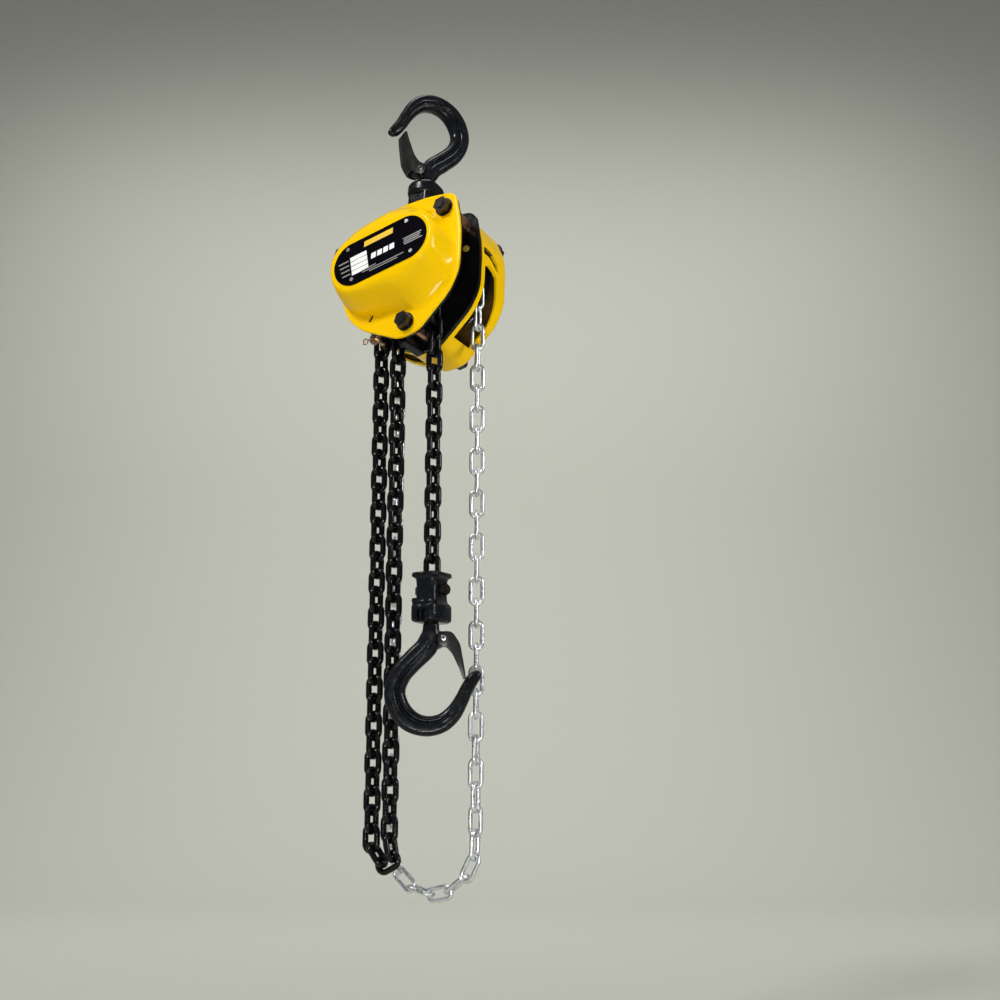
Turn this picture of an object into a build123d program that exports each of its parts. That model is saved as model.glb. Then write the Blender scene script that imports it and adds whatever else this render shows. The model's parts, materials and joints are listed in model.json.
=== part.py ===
from build123d import *
from math import sin, cos, tan, pi, radians, degrees, atan2, hypot, acos, sqrt
import os

os.makedirs("parts", exist_ok=True)

# ---------------------------------------------------------------- driving dimensions (mm, deg)
TILT_AXLE = -6.3          # the hanging body tips its rear down
TILT_ROLL = -13.2         # and its right side up
SADDLE_TO_BAR = 92.9      # top hook saddle to suspension bar
BAR = (16.0, 14.3, 10.0)  # suspension bar in the body's own axes
AXLE_X, AXLE_Z = 7.0, -25.0
Y_LOAD, Y_HAND = 13.2, 40.0
NUT_X, NUT_Z = 43.0, -74.7
STAY_R = 3.0
PL_F = (0.0, 3.0)         # front side plate
PL_R = (25.6, 28.6)       # rear side plate
COVER_DEPTH = 24.0        # gear cover nose
NUT_WASHER = 6.7          # washer radius under the stay nuts
REAR_Y = 66.0             # back face of the hand wheel cover
SHEET = 1.8
LC = dict(d=4.0, p=12.0, w=5.2)    # load chain wire, pitch, inside width
HC = dict(d=3.0, p=15.0, w=4.8)    # hand chain
LINK_GAP = 0.12
MOD, PRESS = 0.9, 25.0
T_PINION, T_BIG, T_SMALL, T_LOAD = 10, 32, 12, 30
LOAD_PIVOT_R, HAND_PIVOT_R = 15.82, 33.75
HAND_PHASE = -10.2
PIN_DROP = 231.5          # axle to lower chain pin
ANCHOR_DX, ANCHOR_DROP = -29.5, 50.6
LOWER_YAW, TOP_YAW = 30.0, 58.0
LOWER_SQUASH = 0.945      # the lower bowl is shallower than the upper
HAND_TWIST = 30.0         # the hand chain turns this far below the wheel


def save(name, solids):
    if not isinstance(solids, (list, tuple)):
        solids = [solids]
    flat = []
    for s in solids:
        flat += list(s.solids())
    export_step(Compound(children=[Solid(s.wrapped) for s in flat]) if len(flat) > 1 else flat[0],
                f"parts/{name}.step")


def cyl_y(x, z, r, y0, y1):
    return Pos(x, (y0 + y1) / 2, z) * Rot(90, 0, 0) * Cylinder(r, abs(y1 - y0))


def cyl_x(y, z, r, x0, x1):
    return Pos((x0 + x1) / 2, y, z) * Rot(0, 90, 0) * Cylinder(r, abs(x1 - x0))


def cyl_z(x, y, r, z0, z1):
    return Pos(x, y, (z0 + z1) / 2) * Cylinder(r, abs(z1 - z0))


def box(x0, x1, y0, y1, z0, z1):
    return Pos((x0 + x1) / 2, (y0 + y1) / 2, (z0 + z1) / 2) * Box(x1 - x0, y1 - y0, z1 - z0)


def tube_y(x, z, ro, ri, y0, y1):
    return cyl_y(x, z, ro, y0, y1) - cyl_y(x, z, ri, y0 - 1, y1 + 1)


def hex_y(x, z, af, y0, y1):
    h = extrude(Plane((x, y0, z), x_dir=(1, 0, 0), z_dir=(0, 1, 0)) * RegularPolygon(af / sqrt(3), 6), y1 - y0)
    return h


def rounded(pts):
    """closed outline through corner points (x, z, radius) with tangent arcs"""
    n, ends = len(pts), []
    for i in range(n):
        (ax, az, _), (bx, bz, r), (cx, cz, _) = pts[i - 1], pts[i], pts[(i + 1) % n]
        u, v = Vector(ax - bx, az - bz, 0).normalized(), Vector(cx - bx, cz - bz, 0).normalized()
        half = acos(max(-1, min(1, u.dot(v)))) / 2
        t = r / tan(half)
        p, q, c = Vector(bx, bz, 0) + u * t, Vector(bx, bz, 0) + v * t, Vector(bx, bz, 0)
        mid = c + (u + v).normalized() * (r / sin(half) - r)
        ends.append((p, mid, q))
    edges = []
    for i in range(n):
        p, m, q = ends[i]
        edges.append(Edge.make_three_point_arc(p, m, q))
        edges.append(Edge.make_line(q, ends[(i + 1) % n][0]))
    return Face(Wire(edges))


def on_y(face, y):
    """put an X-Y drawn outline onto the body plane y, its Y axis becoming Z"""
    return Plane((0, y, 0), x_dir=(1, 0, 0), z_dir=(0, -1, 0)) * face


def slab(face, y0, y1):
    return extrude(on_y(face, y1), y1 - y0, dir=(0, -1, 0))


def pick(off=0.0):
    k = off
    half = [(53.3 - k, 9.0 - k, 9), (53.2 - k, -20.0, 120), (46.5 - k, -52.0, 36), (36.5 - k, -65.5, 40),
            (8.0 - 0.6 * k, -84.8 + k, 18)]
    top = [(-31.0, 15.6 - k, 40), (0.0, 20.4 - k, 90), (31.0, 15.6 - k, 40)]
    left = [(-x, z, r) for x, z, r in reversed(half)]
    return rounded(top + half + left)


# ---------------------------------------------------------------- frames
cA, sA = cos(radians(TILT_AXLE)), sin(radians(TILT_AXLE))
cB, sB = cos(radians(TILT_ROLL)), sin(radians(TILT_ROLL))
BX = Vector(cB, sA * sB, -cA * sB)
BY = Vector(0, cA, sA)
BZ = Vector(sB, -sA * cB, cA * cB)
HZ = Vector(0, -sA, cA)
BAR_ROW = HZ * (-SADDLE_TO_BAR)
O_ROW = BAR_ROW - (BX * BAR[0] + BY * BAR[1] + BZ * BAR[2])
BODY = Plane(O_ROW, x_dir=BX, z_dir=BZ).location
YOKE = Plane(BAR_ROW, x_dir=(1, 0, 0), z_dir=HZ).location


def row(x, y, z):
    return O_ROW + BX * x + BY * y + BZ * z


C_LOAD = row(AXLE_X, Y_LOAD, AXLE_Z)
C_HAND = row(AXLE_X, Y_HAND, AXLE_Z)


def body(name, solids):
    if not isinstance(solids, (list, tuple)):
        solids = [solids]
    save(name, [BODY * s for s in solids])


# ---------------------------------------------------------------- gears
def gear(teeth, y0, y1, turn=0.0, bore=0.0, backlash=0.10):
    r, a0 = MOD * teeth / 2, radians(PRESS)
    rb, ra, rf = r * cos(a0), r + 0.8 * MOD, r - 1.0 * MOD
    inv = lambda a: tan(a) - a
    half = pi / 2 / teeth - backlash / 2 / r

    def ang(rad):
        if rad <= rb:
            return half + inv(a0)
        return half + inv(a0) - inv(acos(rb / rad))
    radii = [rf] + [max(rb, rf) + (ra - max(rb, rf)) * k / 4 for k in range(5)]
    if rf >= rb:
        radii = [rf + (ra - rf) * k / 5 for k in range(6)]
    pts = []
    for i in range(teeth):
        c = 2 * pi * i / teeth + radians(turn)
        for rad in radii:
            pts.append((rad * cos(c - ang(rad)), rad * sin(c - ang(rad))))
        for rad in reversed(radii):
            pts.append((rad * cos(c + ang(rad)), rad * sin(c + ang(rad))))
    clean = [pts[0]]
    for q in pts[1:]:
        if hypot(q[0] - clean[-1][0], q[1] - clean[-1][1]) > 1e-3:
            clean.append(q)
    g = slab(Face(Wire.make_polygon([Vector(*q, 0) for q in clean], close=True)), y0, y1)
    if bore:
        g -= cyl_y(0, 0, bore, y0 - 1, y1 + 1)
    return g


# ---------------------------------------------------------------- chain links
def link_solid(d, p, w, gap=0.0):
    rad, straight = (w + d) / 2, p - w + gap
    path = SlotCenterToCenter(straight, 2 * rad).wire()
    start = path @ 0
    return sweep(Plane(start, z_dir=path % 0) * Circle(d / 2), path=path)


def run_links(pivots, first, ch, n_dir, twist=None):
    """rigid links between pivot points; V links lie in the strand plane, F links across it"""
    v = link_solid(ch["d"], ch["p"], ch["w"], 2 * LINK_GAP)
    f = link_solid(ch["d"], ch["p"], ch["w"])
    out, kind = [], first
    for i, (a, b) in enumerate(zip(pivots, pivots[1:])):
        if twist:
            n_dir = Vector(-sin(radians(twist[i])), cos(radians(twist[i])), 0)
        u = (b - a).normalized()
        n = (n_dir - u * n_dir.dot(u)).normalized()
        zd = n if kind == "V" else u.cross(n).normalized()
        out.append(Plane((a + b) * 0.5, x_dir=u, z_dir=zd).location * (v if kind == "V" else f))
        kind = "F" if kind == "V" else "V"
    return out


def seg(kind, ch):
    return ch["p"] - ch["d"] if kind == "V" else ch["p"] + ch["d"]


def hang(top, drop_kinds, ch):
    pts = [top]
    for k in drop_kinds:
        pts.append(pts[-1] - Vector(0, 0, seg(k, ch)))
    return pts


def u_turn(p0, p1, kinds, ch):
    """links turning from going down at p0 to going up at p1, in the plane of the two strands"""
    n = len(kinds)
    ts = [(i + 0.5) / n - 0.5 for i in range(n)]
    dx, dz = p1.X - p0.X, p1.Z - p0.Z
    s = 1 if dx > 0 else -1

    def end(a, b):
        x = sum(seg(k, ch) * cos(a + b * t) for k, t in zip(kinds, ts))
        z = sum(seg(k, ch) * sin(a + b * t) for k, t in zip(kinds, ts))
        return x - abs(dx), z - dz
    a, b = 0.0, pi * 0.95
    for _ in range(60):
        f0, h = end(a, b), 1e-5
        fa, fb = end(a + h, b), end(a, b + h)
        j = [[(fa[0] - f0[0]) / h, (fb[0] - f0[0]) / h], [(fa[1] - f0[1]) / h, (fb[1] - f0[1]) / h]]
        det = j[0][0] * j[1][1] - j[0][1] * j[1][0]
        da = (-f0[0] * j[1][1] + f0[1] * j[0][1]) / det
        db = (-f0[1] * j[0][0] + f0[0] * j[1][0]) / det
        a, b = a + max(-0.3, min(0.3, da)), b + max(-0.3, min(0.3, db))
    pts = [p0]
    for k, t in zip(kinds, ts):
        th, L = a + b * t, seg(k, ch)
        pts.append(pts[-1] + Vector(s * L * cos(th), 0, L * sin(th)))
    return pts


# ================================================================ covers and plates
nose_base = [(-38.5, -8.5, 14), (-30.0, 8.5, 14), (0.0, 19.0, 60), (30.0, 7.5, 14), (38.5, -8.5, 14),
             (47.0, -30.0, 22), (38.0, -52.0, 20), (8.0, -65.5, 18), (-8.0, -62.0, 14), (-40.0, -50.0, 16),
             (-49.0, -28.0, 18)]
nose_top = [(-37.5, -9.0, 12), (-27.0, -3.6, 20), (0.0, -3.0, 60), (27.0, -3.6, 20), (37.5, -9.0, 12),
            (45.0, -28.0, 17), (38.0, -50.0, 12), (8.0, -52.5, 30), (-8.0, -52.5, 30), (-38.0, -50.0, 12),
            (-45.0, -28.0, 17)]


def nose(off, y_face):
    def shrink(pts):
        cx, cz = 0.0, -26.0
        res = []
        for x, z, r in pts:
            L = hypot(x - cx, z - cz)
            res.append((x - (x - cx) / L * off, z - (z - cz) / L * off, r))
        return rounded(res)
    base, top = shrink(nose_base), shrink(nose_top)
    mid = shrink([((3 * a[0] + 2 * b[0]) / 5, (3 * a[1] + 2 * b[1]) / 5, (a[2] + b[2]) / 2)
                  for a, b in zip(nose_base, nose_top)])
    return loft([on_y(base, 0.0), on_y(mid, y_face * 0.42), on_y(top, y_face)], ruled=True)


outer = nose(0.0, -COVER_DEPTH)
face_edges = outer.faces().sort_by(Axis.Y)[0].edges()
for r in (4.5, 2.0, 1.0):
    try:
        outer = fillet(face_edges, r)
        break
    except ValueError:
        continue
inner = nose(2.2, -COVER_DEPTH + 2.0)
front_cover = (outer + slab(pick(), -2.0, 0.0)) - inner
front_cover -= slab(pick(-5), 0.0, 6.0)
for x, z in ((NUT_X, 0), (-NUT_X, 0), (0, NUT_Z)):
    front_cover -= cyl_y(x, z, STAY_R + 0.05, -6, 2)
front_cover -= slab(Pos(-28.7, -60.5) * Rot(0, 0, 35) * SlotCenterToCenter(3.0, 2.4).face(), -6, 2)
front_cover -= cyl_y(6.8, 16.2, 0.9, -5, 2)
for s in (-1, 1):
    front_cover -= cyl_y(AXLE_X + s * MOD * (T_PINION + T_BIG) / 2, AXLE_Z, 15.8, -16.9, -1.0)
for sx in (-1, 1):
    for sz in (-1, 1):
        front_cover -= cyl_y(sx * 24.6, -27.9 + sz * 12.35, 1.25, -30, -18)
body("front_cover", front_cover)

label = slab(Pos(0, -27.9) * SlotCenterToCenter(44.0, 33.0).face(), -COVER_DEPTH - 0.6, -COVER_DEPTH)
rivets = []
for sx in (-1, 1):
    for sz in (-1, 1):
        x, z = sx * 24.6, -27.9 + sz * 12.35
        label -= cyl_y(x, z, 1.25, -30, -20)
        rivets.append(cyl_y(x, z, 1.2, -COVER_DEPTH - 0.6, -20.8) + Pos(x, -COVER_DEPTH - 0.6, z)
                      * Rot(90, 0, 0) * (Cylinder(1.45, 0.9, align=(Align.CENTER, Align.CENTER, Align.MIN))))
body("label_plate", label)
body("label_rivets", rivets)

STAYS = ((NUT_X, 0.0), (-NUT_X, 0.0), (0.0, NUT_Z))
ARBOR_DX = MOD * (T_PINION + T_BIG) / 2
SP_PIN = (-20.0, -69.8)     # short spacer behind the front plate
LUG = (-31.5, -52.5)        # rivet of the anchor bracket


def side_plate(y0, y1, bearing_r, arbors):
    p = slab(pick(0.8), y0, y1)
    for x, z in STAYS:
        p -= cyl_y(x, z, STAY_R + 0.05, y0 - 1, y1 + 1)
    p -= cyl_y(AXLE_X, AXLE_Z, bearing_r, y0 - 1, y1 + 1)
    p -= cyl_y(BAR[0], BAR[2], 4.05, y0 - 1, y1 + 1)
    if arbors:
        p -= cyl_y(SP_PIN[0], SP_PIN[1], 2.05, y0 - 1, y1 + 1)
    else:
        p -= cyl_y(*LUG, 2.05, y0 - 1, y1 + 1)
    for gx, gz in GUIDE_RIVETS:
        p -= cyl_y(gx, gz, 1.55, y0 - 1, y1 + 1)
    if arbors:
        for s in (-1, 1):
            p -= cyl_y(AXLE_X + s * ARBOR_DX, AXLE_Z, 2.55, y0 - 1, y1 + 1)
    return p


GUIDE_RIVETS = ((-7.8, -71.5), (-7.8, -77.2))
BEAR_R = 13.0
body("front_side_plate", side_plate(*PL_F, BEAR_R + 0.02, True))
rear_plate = side_plate(*PL_R, BEAR_R + 0.02, False)
PAWLS = ((AXLE_X - 33.5, AXLE_Z + 17.0), (AXLE_X + 29.0, AXLE_Z - 27.0))
for px, pz in PAWLS:
    rear_plate -= cyl_y(px, pz, 2.02, 20, 30)
BRASS = (41.0, -18.6)       # plain brass rivet in the rear plate
rear_plate -= cyl_y(*BRASS, 1.55, 20, 30)
body("rear_side_plate", rear_plate)

body("stay_bolts", [cyl_y(x, z, STAY_R, -8.6, REAR_Y + 8.6) for x, z in STAYS])
body("stay_spacers", [tube_y(x, z, 5.2 if z > -50 else 3.9, STAY_R + 0.05, PL_F[1], PL_R[0]) for x, z in STAYS]
     + [tube_y(x, z, 3.75, STAY_R + 0.05, PL_R[1], REAR_Y - SHEET) for x, z in STAYS])
wash = []
for x, z in STAYS:
    wash.append(tube_y(x, z, NUT_WASHER, STAY_R + 0.05, -3.0, -2.0))
    wash.append(tube_y(x, z, NUT_WASHER, STAY_R + 0.05, REAR_Y, REAR_Y + 1.0))
body("stay_washers", wash)


def nut_y(x, z, af, y0, y1, r):
    n = hex_y(x, z, af, min(y0, y1), max(y0, y1)) & cyl_y(x, z, af * 0.565, y0, y1)
    return n - cyl_y(x, z, r + 0.02, min(y0, y1) - 1, max(y0, y1) + 1)


body("stay_nuts", [nut_y(x, z, 10.4, -7.6, -3.0, STAY_R) for x, z in STAYS]
     + [nut_y(x, z, 10.4, REAR_Y + 1.0, REAR_Y + 5.4, STAY_R) for x, z in STAYS])

# hand wheel cover: a drawn shell with side windows, given as (y, z) corners
Y_RC = PL_R[1]
WINDOW = ((32.6, -33.4), (38.0, -31.0), (44.0, -32.4), (48.0, -35.0), (49.0, -46.0), (51.2, -56.0), (53.6, -66.0),
          (53.8, -78.4), (32.6, -78.4))
SLOT = ((31.0, -19.4), (36.5, -18.5), (43.0, -20.4), (49.0, -24.2), (50.8, -30.4), (47.4, -30.4), (42.5, -26.6),
        (37.4, -24.6), (31.0, -24.4))


def side_cut(corners, x0, x1):
    wire = Wire.make_polygon([Vector(x0, y, z) for y, z in corners], close=True)
    return extrude(Face(wire), x1 - x0, dir=(1, 0, 0))


def rounded_back(solid, r):
    return fillet(solid.faces().sort_by(Axis.Y)[-1].edges(), r)


shell = rounded_back(slab(pick(0.3), Y_RC, REAR_Y), 7.5)
shell -= rounded_back(slab(pick(0.3 + SHEET), Y_RC - 1, REAR_Y - SHEET), 4.3)
for cut in (WINDOW, SLOT):
    shell -= side_cut(cut, 14.8, 70.0)
    shell -= side_cut(cut, -70.0, -14.8)
for x, z in STAYS:
    shell -= cyl_y(x, z, STAY_R + 0.05, 50, 80)
shell -= cyl_y(AXLE_X, AXLE_Z, 9.0, 60, 80)
dish = slab(Pos(AXLE_X, AXLE_Z) * Circle(20).face(), REAR_Y - SHEET, REAR_Y + 2.2)
shell = shell + (cyl_y(AXLE_X, AXLE_Z, 22.0, REAR_Y - 0.5, REAR_Y + 2.4)
                 - cyl_y(AXLE_X, AXLE_Z, 20.2, REAR_Y - 4, REAR_Y + 0.8) - cyl_y(AXLE_X, AXLE_Z, 9.0, 60, 80))
shell -= cyl_y(AXLE_X, AXLE_Z, 20.2, REAR_Y - 4, REAR_Y + 0.8) - cyl_y(AXLE_X, AXLE_Z, 0.1, 60, 61)
body("hand_wheel_cover", shell)

# ================================================================ load sheave and gear train
a = (AXLE_X, AXLE_Z)


def turned(profile):
    """solid of revolution about the axle; profile is (radius, y) points in body axes"""
    f = Face(Wire.make_polygon([Vector(r, y, 0) for r, y in profile], close=True))
    return Pos(AXLE_X, 0, AXLE_Z) * revolve(f, Axis.Y, 360)


yl = Y_LOAD
sheave = turned([(4.4, 0.2), (7.0, 0.2), (7.0, 3.4), (19.0, 4.2), (19.2, 5.2), (17.6, yl - 7.4), (11.2, yl - 7.1),
                 (11.2, yl - 2.7), (7.9, yl - 2.5), (7.9, yl + 2.5), (11.2, yl + 2.7), (11.2, yl + 7.1),
                 (17.6, yl + 7.4), (19.2, 24.0), (19.0, 25.0), (7.0, 25.2), (7.0, 28.4), (4.4, 28.4)])
for k in range(4):
    ang = radians(45 + 90 * k + TILT_ROLL)
    px, pz = AXLE_X + 15.2 * cos(ang), AXLE_Z + 15.2 * sin(ang)
    sheave -= Pos(px, yl, pz) * Rot(0, -degrees(ang), 0) * Box(10.0, 13.9, 16.5)
body("load_sheave", sheave)


def bearing(y0, y1):
    outer_ring = tube_y(*a, BEAR_R, 10.8, y0, y1)
    inner_ring = tube_y(*a, 9.0, 7.02, y0, y1)
    balls = []
    for k in range(10):
        t = 2 * pi * k / 10
        balls.append(Pos(a[0] + 9.9 * cos(t), (y0 + y1) / 2, a[1] + 9.9 * sin(t)) * Sphere(0.95))
    return outer_ring, inner_ring, balls


bo1, bi1, bb1 = bearing(0.0, 3.0)
bo2, bi2, bb2 = bearing(25.6, 28.6)
body("sheave_bearings", [bo1, bo2] + bb1 + bb2)
body("bearing_inner_rings", [bi1, bi2])

lg = Pos(AXLE_X, 0, AXLE_Z) * gear(T_LOAD, -9.5, -4.0, 0.0, 4.4)
lg += tube_y(*a, 6.98, 4.4, -4.0, -0.0)
lg = lg - tube_y(*a, 11.0, 8.0, -10, -8.4)
body("load_gear", lg)
for name, s in (("intermediate_gear_left", -1), ("intermediate_gear_right", 1)):
    gx = AXLE_X + s * ARBOR_DX
    g = gear(T_BIG, -16.0, -11.2, 180 / T_BIG, 2.9) + gear(T_SMALL, -11.4, -3.2, 180 / T_SMALL, 2.9)
    g -= tube_y(0, 0, 11.5, 7.5, -17, -14.8)
    body(name, Pos(gx, 0, AXLE_Z) * g)
body("gear_arbors", [cyl_y(AXLE_X + s * ARBOR_DX, AXLE_Z, 2.5, -17.4, 3.0)
                     + cyl_y(AXLE_X + s * ARBOR_DX, AXLE_Z, 3.8, -2.6, 0.0) for s in (-1, 1)])
body("gear_bushes", [tube_y(AXLE_X + s * ARBOR_DX, AXLE_Z, 2.88, 2.53, -16.0, -3.0) for s in (-1, 1)])

# drive shaft with pinion, brake hub, hand wheel
shaft = cyl_y(*a, 4.0, -10.4, 57.0) + Pos(AXLE_X, 0, AXLE_Z) * gear(T_PINION, -17.0, -10.8, 0.0)
shaft += cyl_y(*a, 3.5, -18.6, -10.0)
shaft -= cyl_x(55.3, AXLE_Z, 0.85, AXLE_X - 6, AXLE_X + 6)
body("drive_shaft", shaft)
body("brake_hub", tube_y(*a, 13.4, 4.02, 29.0, 30.2) + tube_y(*a, 8.2, 4.02, 30.2, 33.7))
teeth = []
N_RAT = 12
for i in range(N_RAT):
    t0, t1 = 2 * pi * i / N_RAT, 2 * pi * (i + 0.86) / N_RAT
    teeth += [(20.6 * cos(t0), 20.6 * sin(t0)), (17.2 * cos(t1), 17.2 * sin(t1))]
ratchet = Pos(AXLE_X, 0, AXLE_Z) * slab(Face(Wire.make_polygon([Vector(*q, 0) for q in teeth], close=True)), 30.0, 32.4)
ratchet -= cyl_y(*a, 13.8, 29, 31.4)
ratchet -= cyl_y(*a, 8.26, 29, 34)
body("ratchet_disc", ratchet)
body("friction_discs", [tube_y(*a, 13.4, 8.6, 30.35, 31.4), tube_y(*a, 15.8, 8.6, 32.4, 33.6)])

yh = Y_HAND
wheel = turned([(4.02, 33.8), (16.4, 33.8), (16.4, 32.8), (23.0, 32.8), (38.6, 32.9), (39.6, 33.4), (39.0, 34.1),
                (31.0, yh - 5.8), (30.4, yh - 1.95), (27.2, yh - 1.75), (27.2, yh + 2.4), (29.4, yh + 2.7),
                (30.2, yh + 6.6), (39.0, 47.9), (39.6, 48.4), (38.6, 48.9), (30.0, 48.2), (24.0, 44.5), (9.0, 44.5),
                (9.0, 49.5), (4.02, 49.5)])
HP0 = 90 - HAND_PHASE
for k in range(7):
    ang = radians(HP0 + 360 / 7 * k + TILT_ROLL)
    px, pz = AXLE_X + 33.0 * cos(ang), AXLE_Z + 33.0 * sin(ang)
    wheel -= Pos(px, yh, pz) * Rot(0, -degrees(ang), 0) * Box(9.0, 11.3, 21.5)
for k in range(5):
    t = 2 * pi * k / 5 + 0.3
    wheel -= cyl_y(AXLE_X + 20.2 * cos(t), AXLE_Z + 20.2 * sin(t), 3.0, 40, 50)
body("hand_wheel", wheel)
body("wheel_washer", tube_y(*a, 8.0, 4.02, 49.5, 50.5))
wn = nut_y(*a, 13.0, 50.5, 57.0, 4.0)
for k in range(3):
    wn -= Pos(AXLE_X, 55.8, AXLE_Z) * Rot(0, 60 * k, 0) * Box(20, 2.6, 1.9)
body("wheel_nut", wn)
body("wheel_nut_cotter", cyl_x(55.3, AXLE_Z, 0.75, AXLE_X - 7.6, AXLE_X + 7.6))


# pawls on the rear plate
pawl_pins, pawl_springs = [], []
for name, (px, pz) in (("pawl_upper", PAWLS[0]), ("pawl_lower", PAWLS[1])):
    L, dirn = hypot(AXLE_X - px, AXLE_Z - pz), degrees(atan2(AXLE_Z - pz, AXLE_X - px))
    tilt = degrees(atan2(24.0, sqrt(L * L - 24.0 ** 2)))
    th = radians(dirn + tilt)
    n = sqrt(L * L - 24.0 ** 2) - 2.2
    ux, uz = cos(th), sin(th)
    vx, vz = -uz, ux
    q = [(px + 3.9 * vx, pz + 3.9 * vz), (px + n * ux + 2.6 * vx, pz + n * uz + 2.6 * vz),
         (px + (n + 0.4) * ux + 1.6 * vx, pz + (n + 0.4) * uz + 1.6 * vz),
         (px - 3.6 * vx, pz - 3.6 * vz)]
    p = slab(Face(Wire.make_polygon([Vector(*w, 0) for w in q], close=True)), 30.1, 32.3)
    p += cyl_y(px, pz, 4.2, 30.1, 32.3)
    p -= cyl_y(px, pz, 2.05, 28, 34)
    body(name, p)
    pawl_pins.append(cyl_y(px, pz, 2.0, 25.6, 32.4) + cyl_y(px, pz, 3.0, 28.6, 29.9))
    spring = tube_y(px, pz, 3.7, 3.05, 29.0, 29.8)
    spring += Pos(px + 7.0 * cos(th + 0.5), 29.4, pz + 7.0 * sin(th + 0.5)) * Rot(0, -degrees(th + 0.5), 0) * Box(8.0, 0.6, 0.6)
    pawl_springs.append(spring)
body("pawl_pins", pawl_pins)
body("pawl_springs", pawl_springs)

# guide block, stripper, rollers, anchor
guide = fillet(box(-11.2, -4.4, PL_F[1] + 0.05, PL_R[0] - 0.05, -86.0, -69.0).edges().filter_by(Axis.Y), 1.5)
for gx, gz in GUIDE_RIVETS:
    guide -= cyl_y(gx, gz, 1.55, 0, 30)
body("chain_guide", guide)
body("guide_spacer", cyl_y(*SP_PIN, 2.0, 0.0, 3.0) + cyl_y(*SP_PIN, 3.7, 3.0, 10.4))
pivot_l = C_LOAD + Vector(LOAD_PIVOT_R * -cos(radians(14.65)), 0, 0) - HZ * (LOAD_PIVOT_R * sin(radians(14.65)))
anchor_row = Vector(C_LOAD.X + ANCHOR_DX, pivot_l.Y, C_LOAD.Z - ANCHOR_DROP)
rel = anchor_row - O_ROW
AX, AYc, AZ = rel.dot(BX), rel.dot(BY), rel.dot(BZ)
L = hypot(AX - LUG[0], AZ - LUG[1])
lug_f = (Pos((AX + LUG[0]) / 2, (AZ + LUG[1]) / 2) * Rot(0, 0, degrees(atan2(AZ - LUG[1], AX - LUG[0])))
         * SlotCenterToCenter(L, 10.0).face())
lug = slab(lug_f, 23.0, 25.6) - cyl_y(AX, AZ, 2.02, -5, 40) - cyl_y(*LUG, 2.05, -5, 40)
body("anchor_bracket", lug)
body("plate_rivets", [cyl_y(x, z, 1.5, PL_F[0], PL_R[1]) for x, z in GUIDE_RIVETS]
     + [cyl_y(*LUG, 2.0, 23.0, 29.3) + cyl_y(*LUG, 3.4, 22.0, 23.0),
        cyl_y(*BRASS, 1.5, 24.9, 28.6) + cyl_y(*BRASS, 2.3, 28.6, 29.3) + cyl_y(*BRASS, 2.3, 24.7, 25.6)])
COTTER_Y = 9.4
body("anchor_pin", cyl_y(AX, AZ, 2.0, 7.8, 25.5) + cyl_y(AX, AZ, 3.6, 21.6, 23.0) + cyl_y(AX, AZ, 5.2, 10.4, 11.6)
     - cyl_x(COTTER_Y, AZ, 0.62, AX - 5, AX + 5))
body("anchor_cotter", cyl_x(COTTER_Y, AZ, 0.55, AX - 6.5, AX + 4.6)
     + Pos(AX - 8.1, COTTER_Y, AZ) * Rot(90, 0, 0) * Torus(2.0, 0.6))
bar_end = cyl_y(BAR[0], BAR[2], 4.0, 0.3, 30.0)
body("suspension_bar", bar_end - tube_y(BAR[0], BAR[2], 5, 3.4, 29.0, 29.5))
body("bar_clip", tube_y(BAR[0], BAR[2], 5.6, 3.42, 29.02, 29.48))


# ================================================================ hook block halves
YOKE_RISE = 8.0           # extra height of the top yoke, whose two legs straddle the bar


def block(sign, top):
    """block in its own axes: origin on the pin or bar, hook leaving towards -Z"""
    up = YOKE_RISE if top else 0.0
    b = fillet(box(-9, 9, -10.5, 10.5, -14 - up, 9.0).edges().filter_by(Axis.Z), 3.2)
    if not top:
        b += fillet(box(-9, 9, -10.5, -6.8, 5, 11.2).edges().filter_by(Axis.Z), 1.2)
        b += fillet(box(-9, 9, 6.8, 10.5, 5, 11.2).edges().filter_by(Axis.Z), 1.2)
    cup = cyl_z(0, 0, 13.2, -21.5, -10.5)
    cup = fillet(cup.edges().filter_by(GeomType.CIRCLE), 3.4)
    b += Pos(0, 0, -up) * (cup & box(-9.6, 9.6, -14, 14, -30, 0))
    b -= cyl_z(0, 0, 8.4, -19.0 - up, -9.6 - up)
    b -= cyl_z(0, 0, 4.85, -25.0 - up, -15.0 - up)
    if top:
        b = b - (box(-12, 12, -12, 12, 0.0, 12) - cyl_y(0, 0, 9.0, -12, 12))
        b -= cyl_y(0, 0, 4.06, -20, 20)
        b -= box(-12, 12, -3.9, 3.9, -14.4, 12) + cyl_x(0, -13.6, 3.9, -12, 12)
    else:
        slot = box(-2.7, 2.7, -7.3, 7.3, 0.1, 30) + cyl_x(0, 0.1, 7.3, -2.7, 2.7)
        cross = box(-7.6, 7.6, -2.5, 2.5, 4.9, 30)
        for lean in (0, 7, -7):
            b -= Rot(lean, 0, 0) * (slot + cross)
        b -= cyl_x(0, 0, 2.52, -20, 20)
    half = b & (box(0, 30, -30, 30, -40, 40) if sign > 0 else box(-30, 0, -30, 30, -40, 40))
    return half


BLOCK_SCREWS = {False: ((-8.0, -7.4), (8.0, -7.4)), True: ((-7.6, -6.6), (7.6, -6.6))}


def screws(top):
    out = []
    for y, z in BLOCK_SCREWS[top]:
        out.append(cyl_x(y, z, 1.2, -8.0, 6.0) + cyl_x(y, z, 2.2, -9.0, -7.6))
    return out


def with_screws(half, top):
    for y, z in BLOCK_SCREWS[top]:
        half = half - cyl_x(y, z, 1.22, -20, 6.0) - cyl_x(y, z, 2.25, -20, -7.6)
    return half


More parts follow.
